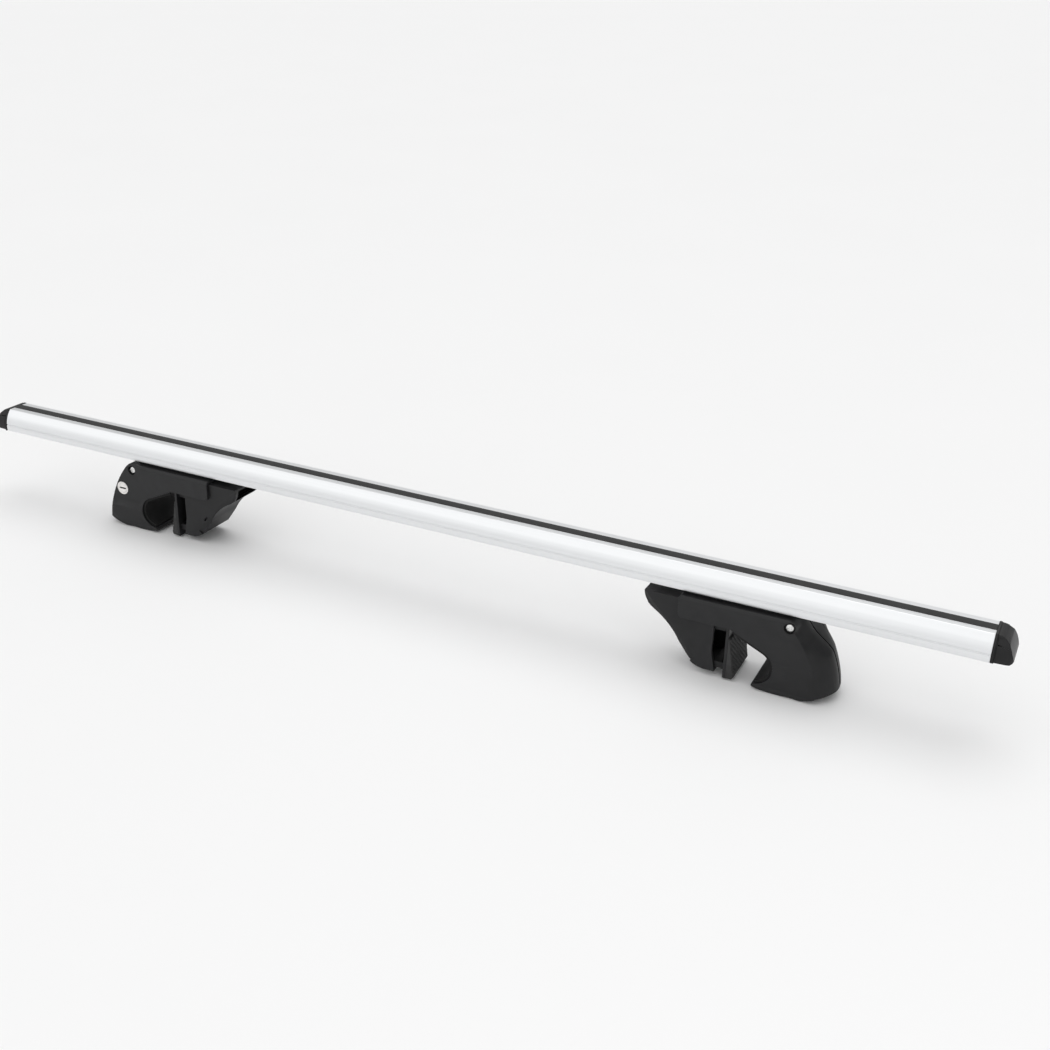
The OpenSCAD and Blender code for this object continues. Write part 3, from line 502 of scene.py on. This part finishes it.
def edge_rub_group():
    """Painted highlight: a patchy mask along the raised edges, where the light catches them."""
    tree, ins, outs = new_group(
        "Painted Edge Highlight",
        [("Start", "NodeSocketFloat", 0.52), ("End", "NodeSocketFloat", 0.62)],
        [("Mask", "NodeSocketFloat")])
    raised = add_node(tree, "ShaderNodeNewGeometry").outputs["Pointiness"]
    place = add_node(tree, "ShaderNodeTexCoord").outputs["Object"]
    patches = add_node(tree, "ShaderNodeTexNoise", {"Vector": place, "Scale": 90.0, "Detail": 3.0})
    # Painted highlight: the mask is 1 on the raised edges, and patchy along them
    edge = map_range(tree, raised, ins.outputs["Start"], ins.outputs["End"], 0.0, 1.0)
    uneven = map_range(tree, patches.outputs["Fac"], 0.35, 0.65, 0.35, 1.0)
    tree.links.new(math_node(tree, "MULTIPLY", edge, uneven), outs.inputs["Mask"])
    return tree


def use_group(tree, group, **values):
    """One of the shared groups, placed in a material with its own values."""
    node = tree.nodes.new("ShaderNodeGroup")
    node.node_tree = group
    for key, value in values.items():
        node.inputs[key.replace("_", " ").title()].default_value = value
    return node.outputs


def shades(color, factor):
    """A colour a factor lighter or darker."""
    return (*[min(1.0, part * factor) for part in color], 1.0)


def mix_color(tree, mask, a, b):
    """A mix of two colours, which a Mix node takes on sockets 6 and 7 and gives on 2."""
    return add_node(tree, "ShaderNodeMix", {0: mask, 6: a, 7: b}, data_type="RGBA").outputs[2]


def new_material(name, **constants):
    """A material whose shader has its constant values set on its own sockets."""
    material = bpy.data.materials.new(name)
    material.use_nodes = True
    shader = material.node_tree.nodes["Principled BSDF"]
    for key, value in constants.items():
        shader.inputs[key.replace("_", " ")].default_value = value
    return material, material.node_tree, shader


def add_bump(tree, shader, height, depth):
    """Gives a shader the relief of a height, at its real depth."""
    bump = add_node(tree, "ShaderNodeBump", {"Height": height, "Distance": depth, "Strength": 1.0})
    tree.links.new(bump.outputs["Normal"], shader.inputs["Normal"])


def anodised_aluminium(groups):
    """Satin aluminium with the die's fine lines along it, a little cloudy."""
    material, tree, shader = new_material("Anodised aluminium", Metallic=1.0)
    lines = use_group(tree, groups["lines"], line_width=finish().line_width,
                      line_length=finish().line_length)
    grain = use_group(tree, groups["grain"], size=0.35 * MM, cloud_size=60 * MM)
    tone = over_noise(tree, lines["Tone"], 0.0, 1.0)
    color = finish().aluminium_color
    tree.links.new(mix_color(tree, tone, shades(color, 0.965), shades(color, 1.03)),
                   shader.inputs["Base Color"])
    rough = over_noise(tree, lines["Height"], 0.30, 0.38)
    cloudy = math_node(tree, "MULTIPLY", over_noise(tree, grain["Tone"], 0.96, 1.06), rough)
    tree.links.new(cloudy, shader.inputs["Roughness"])
    height = add_node(tree, "ShaderNodeMath", {0: grain["Height"], 1: 0.35, 2: lines["Height"]},
                      operation="MULTIPLY_ADD").outputs[0]
    add_bump(tree, shader, height, 0.006 * MM)
    return material


def moulded_plastic(name, groups, color, roughness, size, depth):
    """Black plastic with a moulded grain, an uneven tone and painted highlights on its raised edges,
    which are a little glossier too.
    """
    material, tree, shader = new_material(name, Metallic=0.0, IOR=1.5, Specular_IOR_Level=0.27)
    grain = use_group(tree, groups["grain"], size=size, cloud_size=22 * MM)
    rub = use_group(tree, groups["rub"])
    tone = map_range(tree, grain["Tone"], 0.32, 0.68, 0.0, 1.0)
    base = mix_color(tree, tone, shades(color, 0.86), shades(color, 1.16))
    # Painted highlight: the raised edges are lightened to 2.1 times the plastic's colour
    tree.links.new(mix_color(tree, rub["Mask"], base, shades(color, 2.1)), shader.inputs["Base Color"])
    rough = over_noise(tree, grain["Tone"], roughness - 0.03, roughness + 0.04)
    edge_gloss = map_range(tree, rub["Mask"], 0.0, 1.0, 1.0, 0.82)
    tree.links.new(math_node(tree, "MULTIPLY", rough, edge_gloss), shader.inputs["Roughness"])
    add_bump(tree, shader, grain["Height"], depth)
    return material


def soft_rubber(name, groups, color, roughness=0.72):
    """Matt rubber with a fine grain."""
    material, tree, shader = new_material(name, Metallic=0.0, IOR=1.5, Specular_IOR_Level=0.2)
    grain = use_group(tree, groups["grain"], size=0.45 * MM, cloud_size=14 * MM)
    tone = over_noise(tree, grain["Tone"], 0.0, 1.0)
    tree.links.new(mix_color(tree, tone, shades(color, 0.8), shades(color, 1.3)),
                   shader.inputs["Base Color"])
    tree.links.new(over_noise(tree, grain["Tone"], roughness - 0.06, roughness + 0.06),
                   shader.inputs["Roughness"])
    add_bump(tree, shader, grain["Height"], 0.03 * MM)
    return material


def plated_metal(name, groups, color, roughness):
    """Bright plating, with painted highlights that make its raised edges brighter still."""
    material, tree, shader = new_material(name, Metallic=1.0)
    grain = use_group(tree, groups["grain"], size=0.25 * MM, cloud_size=3 * MM)
    rub = use_group(tree, groups["rub"])
    tone = over_noise(tree, grain["Tone"], 0.0, 1.0)
    base = mix_color(tree, tone, shades(color, 0.9), shades(color, 1.08))
    # Painted highlight: the raised edges are lightened by a fifth
    tree.links.new(mix_color(tree, rub["Mask"], base, shades(color, 1.2)), shader.inputs["Base Color"])
    tree.links.new(over_noise(tree, grain["Tone"], roughness - 0.05, roughness + 0.08),
                   shader.inputs["Roughness"])
    add_bump(tree, shader, grain["Height"], 0.008 * MM)
    return material


def pale_floor(groups):
    """A matt floor that is all but even."""
    material, tree, shader = new_material("Pale floor", Metallic=0.0)
    grain = use_group(tree, groups["grain"], size=1.5 * MM, cloud_size=400 * MM)
    tone = over_noise(tree, grain["Tone"], 0.0, 1.0)
    color = studio().floor_color
    tree.links.new(mix_color(tree, tone, shades(color, 0.995), shades(color, 1.0)),
                   shader.inputs["Base Color"])
    tree.links.new(over_noise(tree, grain["Tone"], 0.62, 0.7), shader.inputs["Roughness"])
    return material


# The shared groups and the materials, once they are made
GROUPS = {}
MATERIALS = {}


def material_of(key):
    """One of the object's materials, made with the shared groups when it is first asked for."""
    if not GROUPS:
        GROUPS.update(grain=moulded_grain_group(), lines=drawn_lines_group(), rub=edge_rub_group())
    if key not in MATERIALS:
        look = finish()
        makers = {
            "bar_aluminium": lambda: anodised_aluminium(GROUPS),
            "foot_plastic": lambda: moulded_plastic(
                "Foot plastic", GROUPS, look.plastic_color, 0.47, look.grain_size, look.grain_depth),
            "cap_plastic": lambda: moulded_plastic(
                "Cap plastic", GROUPS, look.cap_color, 0.38, 0.5 * MM, 0.03 * MM),
            "rubber": lambda: soft_rubber("Rubber", GROUPS, look.rubber_color),
            "pad_rubber": lambda: soft_rubber(
                "Pad rubber", GROUPS, shades(look.rubber_color, 3.2)[:3], 0.55),
            "strip_rubber": lambda: soft_rubber(
                "Strip rubber", GROUPS, shades(look.rubber_color, 2.4)[:3], 0.6),
            "zinc_steel": lambda: plated_metal("Zinc plate", GROUPS, look.zinc_color, 0.26),
            "lock_metal": lambda: plated_metal("Lock nickel", GROUPS, look.lock_color, 0.3),
            "floor": lambda: pale_floor(GROUPS),
        }
        MATERIALS[key] = makers[key]()
    return MATERIALS[key]


class CROSSBAR_OT_studio(bpy.types.Operator):
    """Lay the pale floor, light the studio softly and set up the camera"""
    bl_idname = "crossbar.studio"
    bl_label = "Studio"

    def execute(self, context):
        self.lay_floor()
        self.key_light()
        self.fill_light()
        self.sky(context.scene)
        self.camera(context.scene)
        return {"FINISHED"}

    def lay_floor(self):
        """A pale floor at the height of the soles, wider than the camera sees."""
        bpy.ops.object.select_all(action="DESELECT")
        bpy.ops.mesh.primitive_plane_add(size=studio().floor_size, location=(0, 0, 0))
        floor = bpy.context.active_object
        floor.name = "Floor"
        floor.data.materials.append(material_of("floor"))

    def key_light(self):
        """A broad light overhead, tilted towards the front."""
        values = studio()
        bpy.ops.object.light_add(type="SUN", location=(0, 0.5, 2), rotation=(-values.key_tilt, 0, 0))
        key = bpy.context.active_object
        key.name = "Key light"
        key.data.energy = values.key_strength
        key.data.angle = values.key_spread

    def fill_light(self):
        """A soft rectangular light at the right that faces the bar."""
        values = studio()
        way = Vector(values.fill_target) - Vector(values.fill_place)
        bpy.ops.object.light_add(type="AREA", location=values.fill_place,
                                 rotation=way.to_track_quat("-Z", "Y").to_euler())
        fill = bpy.context.active_object
        fill.name = "Fill light"
        fill.data.shape = "RECTANGLE"
        fill.data.size, fill.data.size_y = values.fill_size
        fill.data.energy = values.fill_power

    def sky(self, scene):
        """A studio that is white overhead and in front, and greyer low down, behind and at the right."""
        values = studio()
        world = bpy.data.worlds.new("Studio")
        world.use_nodes = True
        tree = world.node_tree
        way = add_node(tree, "ShaderNodeTexCoord").outputs["Generated"]
        parts = add_node(tree, "ShaderNodeSeparateXYZ", {0: way}).outputs
        # Where each change of shade starts and ends: upwards, to the back and to the right
        up, back, right = (0.0, 0.45), (-0.3, 0.4), (0.1, 0.8)
        overhead = map_range(tree, parts["Z"], *up, 0.0, 1.0)
        color = mix_color(tree, overhead, (*values.wall_color, 1.0), (*values.sky_color, 1.0))
        behind = map_range(tree, parts["Y"], *back, values.sky_strength,
                           values.sky_strength * values.back_shade)
        aside = map_range(tree, parts["X"], *right, 1.0, values.side_shade)
        background = tree.nodes["Background"]
        tree.links.new(color, background.inputs["Color"])
        tree.links.new(math_node(tree, "MULTIPLY", behind, aside), background.inputs["Strength"])
        scene.world = world
        scene.view_settings.view_transform = "Standard"

    def camera(self, scene):
        """The camera, which looks down on the bar from the front and the right."""
        values = studio()
        level = Euler((math.pi / 2 - values.camera_pitch, 0.0, values.camera_yaw)).to_matrix()
        turn = level @ Matrix.Rotation(-values.camera_roll, 3, "Z")
        bpy.ops.object.camera_add(location=values.camera_place, rotation=turn.to_euler())
        camera = bpy.context.active_object
        camera.name = "Camera"
        camera.data.sensor_width = 36.0
        camera.data.lens = values.focal_length
        camera.data.clip_end = 200.0
        scene.camera = camera


class CROSSBAR_OT_bar(bpy.types.Operator):
    """Dress the aluminium extrusion and the rubber strip in its slot"""
    bl_idname = "crossbar.bar"
    bl_label = "Bar and Strip"

    def execute(self, context):
        rounded_copy("bar_extrusion", detail().bar_edge)
        rounded_copy("top_strip", detail().bar_edge, "strip_rubber")
        return {"FINISHED"}


class CROSSBAR_OT_end_caps(bpy.types.Operator):
    """Dress the caps that close the bar's two ends"""
    bl_idname = "crossbar.end_caps"
    bl_label = "End Caps"

    def execute(self, context):
        for side in SIDES:
            rounded_copy(f"end_cap_{side}", detail().moulded_edge)
        return {"FINISHED"}


class CROSSBAR_OT_feet(bpy.types.Operator):
    """Dress the moulded pieces of both feet"""
    bl_idname = "crossbar.feet"
    bl_label = "Feet"

    def execute(self, context):
        for side in SIDES:
            for piece in ("housing", "end_cover"):
                shell = skin_of(f"{side}_{piece}")
                round_edges(shell, detail().moulded_edge)
                bow_outer_end(shell, side)
                if piece == "housing":
                    slope_top_edges(shell, side)
                shade_evenly(shell)
                dress(shell, f"{side}_{piece}")
            trim_nose(rounded_copy(f"{side}_jaw", detail().jaw_edge), side)
            rounded_copy(f"{side}_pad_carrier", detail().jaw_edge)
        return {"FINISHED"}


class CROSSBAR_OT_rubber(bpy.types.Operator):
    """Dress the rubber liners, saddles and grip pads"""
    bl_idname = "crossbar.rubber"
    bl_label = "Rubber Pieces"

    def execute(self, context):
        for side in SIDES:
            rounded_copy(f"{side}_saddle_pad", detail().rubber_edge)
            rounded_copy(f"{side}_hook_liner", detail().rubber_edge)
            pad = skin_of(f"{side}_grip_pad")
            round_edges(pad, detail().rubber_edge)
            self.scales(pad, side)
            shade_evenly(pad)
            dress(pad, f"{side}_grip_pad", "pad_rubber")
        return {"FINISHED"}

    def scales(self, pad, side):
        """Cuts the pad's gripping face crosswise and raises each diamond that is left."""
        wide, high = detail().scale_width, detail().scale_height
        smallest_face, groove = 200 * MM * MM, 0.55 * MM
        make_active(pad)
        chosen = pad.vertex_groups.new(name="Face")
        gripping = [face for face in pad.data.polygons
                    if face.normal.x * SIDES[side] > 0.9 and face.area > smallest_face]
        chosen.add([corner for face in gripping for corner in face.vertices], 1.0, "REPLACE")
        bpy.ops.object.mode_set(mode="EDIT")
        bpy.ops.mesh.select_mode(type="FACE")
        for slope in (1, -1):
            normal = Vector((0, slope / wide, 1 / high))
            # More rows than cross the face
            for row in range(-8, 22):
                bpy.ops.mesh.select_all(action="DESELECT")
                bpy.ops.object.vertex_group_select()
                bpy.ops.mesh.bisect(plane_co=(0, 0, row * high), plane_no=normal)
        bpy.ops.mesh.select_all(action="DESELECT")
        bpy.ops.object.vertex_group_select()
        bpy.ops.mesh.inset(thickness=groove, depth=detail().scale_rise, use_individual=True)
        bpy.ops.object.mode_set(mode="OBJECT")
        pad.vertex_groups.clear()


class CROSSBAR_OT_fasteners(bpy.types.Operator):
    """Dress the screws, nuts, washers and pins"""
    bl_idname = "crossbar.fasteners"
    bl_label = "Fasteners"

    def execute(self, context):
        for side in SIDES:
            for piece in ("cross_bolt", "cross_nut", "clamp_screw", "thrust_washer", "jaw_nut",
                          "hinge_pin", "mount_bolts", "mount_washers", "mount_nuts"):
                made = rounded_copy(f"{side}_{piece}", detail().metal_edge)
                if piece == "hinge_pin":
                    shift_to_lock(made, side)
        return {"FINISHED"}


class CROSSBAR_OT_locks(bpy.types.Operator):
    """Dress the locks and their cams"""
    bl_idname = "crossbar.locks"
    bl_label = "Locks"

    def execute(self, context):
        for side in SIDES:
            rounded_copy(f"{side}_lock_sleeve", detail().metal_edge)
            self.paint_keyhole_shade(rounded_copy(f"{side}_lock_barrel", detail().metal_edge), side)
            rounded_copy(f"{side}_lock_cam", detail().metal_edge)
        return {"FINISHED"}

    def paint_keyhole_shade(self, barrel, side):
        """Gives the key's slot a dark finish: the shutter deep inside is dark of itself, and the slot's
        walls round it carry painted shade.
        """
        shutter, slot_reach = (0.35 * MM, 4 * MM), 4.6 * MM
        barrel.data.materials.append(material_of("rubber"))
        front = max(foot_place(corner.co, side)[1] for corner in barrel.data.vertices)
        for face in barrel.data.polygons:
            depth = front - foot_place(face.center, side)[1]
            from_axis = (face.center - self.axis_at(side, face.center)).length
            if shutter[0] < depth < shutter[1] and from_axis < slot_reach:
                # Painted shade: the faces a little way inside the slot take the dark rubber finish
                face.material_index = 1

    def axis_at(self, side, point):
        """The point of the lock's axis beside this one."""
        outer_u = END_CENTER[0] + math.sqrt(END_RADIUS ** 2 - (END_CENTER[1] + LOCK_DEPTH) ** 2)
        return Vector((FOOT_X[side] + SIDES[side] * (outer_u - LOCK_INSET), point.y,
                       FOOT_HEIGHT - LOCK_DEPTH))


class CROSSBAR_PT_panel(bpy.types.Panel):
    """The crossbar's operators, in the sidebar of the 3D view"""
    bl_label = "Crossbar"
    bl_idname = "CROSSBAR_PT_panel"
    bl_space_type = "VIEW_3D"
    bl_region_type = "UI"
    bl_category = "Crossbar"

    def draw(self, context):
        for operator in OPERATORS:
            self.layout.operator(operator.bl_idname)
        for group in (studio(), finish(), detail()):
            box = self.layout.box()
            for name in group.bl_rna.properties.keys():
                if name not in ("rna_type", "name"):
                    box.prop(group, name)


SETTINGS = (StudioSettings, FinishSettings, DetailSettings)
OPERATORS = (CROSSBAR_OT_studio, CROSSBAR_OT_bar, CROSSBAR_OT_end_caps, CROSSBAR_OT_feet,
             CROSSBAR_OT_rubber, CROSSBAR_OT_fasteners, CROSSBAR_OT_locks)


def register():
    for cls in (*SETTINGS, *OPERATORS, CROSSBAR_PT_panel):
        bpy.utils.register_class(cls)
    bpy.types.Scene.crossbar_studio = bpy.props.PointerProperty(type=StudioSettings)
    bpy.types.Scene.crossbar_finish = bpy.props.PointerProperty(type=FinishSettings)
    bpy.types.Scene.crossbar_detail = bpy.props.PointerProperty(type=DetailSettings)


def unregister():
    del bpy.types.Scene.crossbar_detail
    del bpy.types.Scene.crossbar_finish
    del bpy.types.Scene.crossbar_studio
    for cls in (CROSSBAR_PT_panel, *reversed(OPERATORS), *reversed(SETTINGS)):
        bpy.utils.unregister_class(cls)


def main():
    register()
    bpy.ops.crossbar.studio()
    bpy.ops.crossbar.bar()
    bpy.ops.crossbar.end_caps()
    bpy.ops.crossbar.feet()
    bpy.ops.crossbar.rubber()
    bpy.ops.crossbar.fasteners()
    bpy.ops.crossbar.locks()


if __name__ == "__main__":
    main()
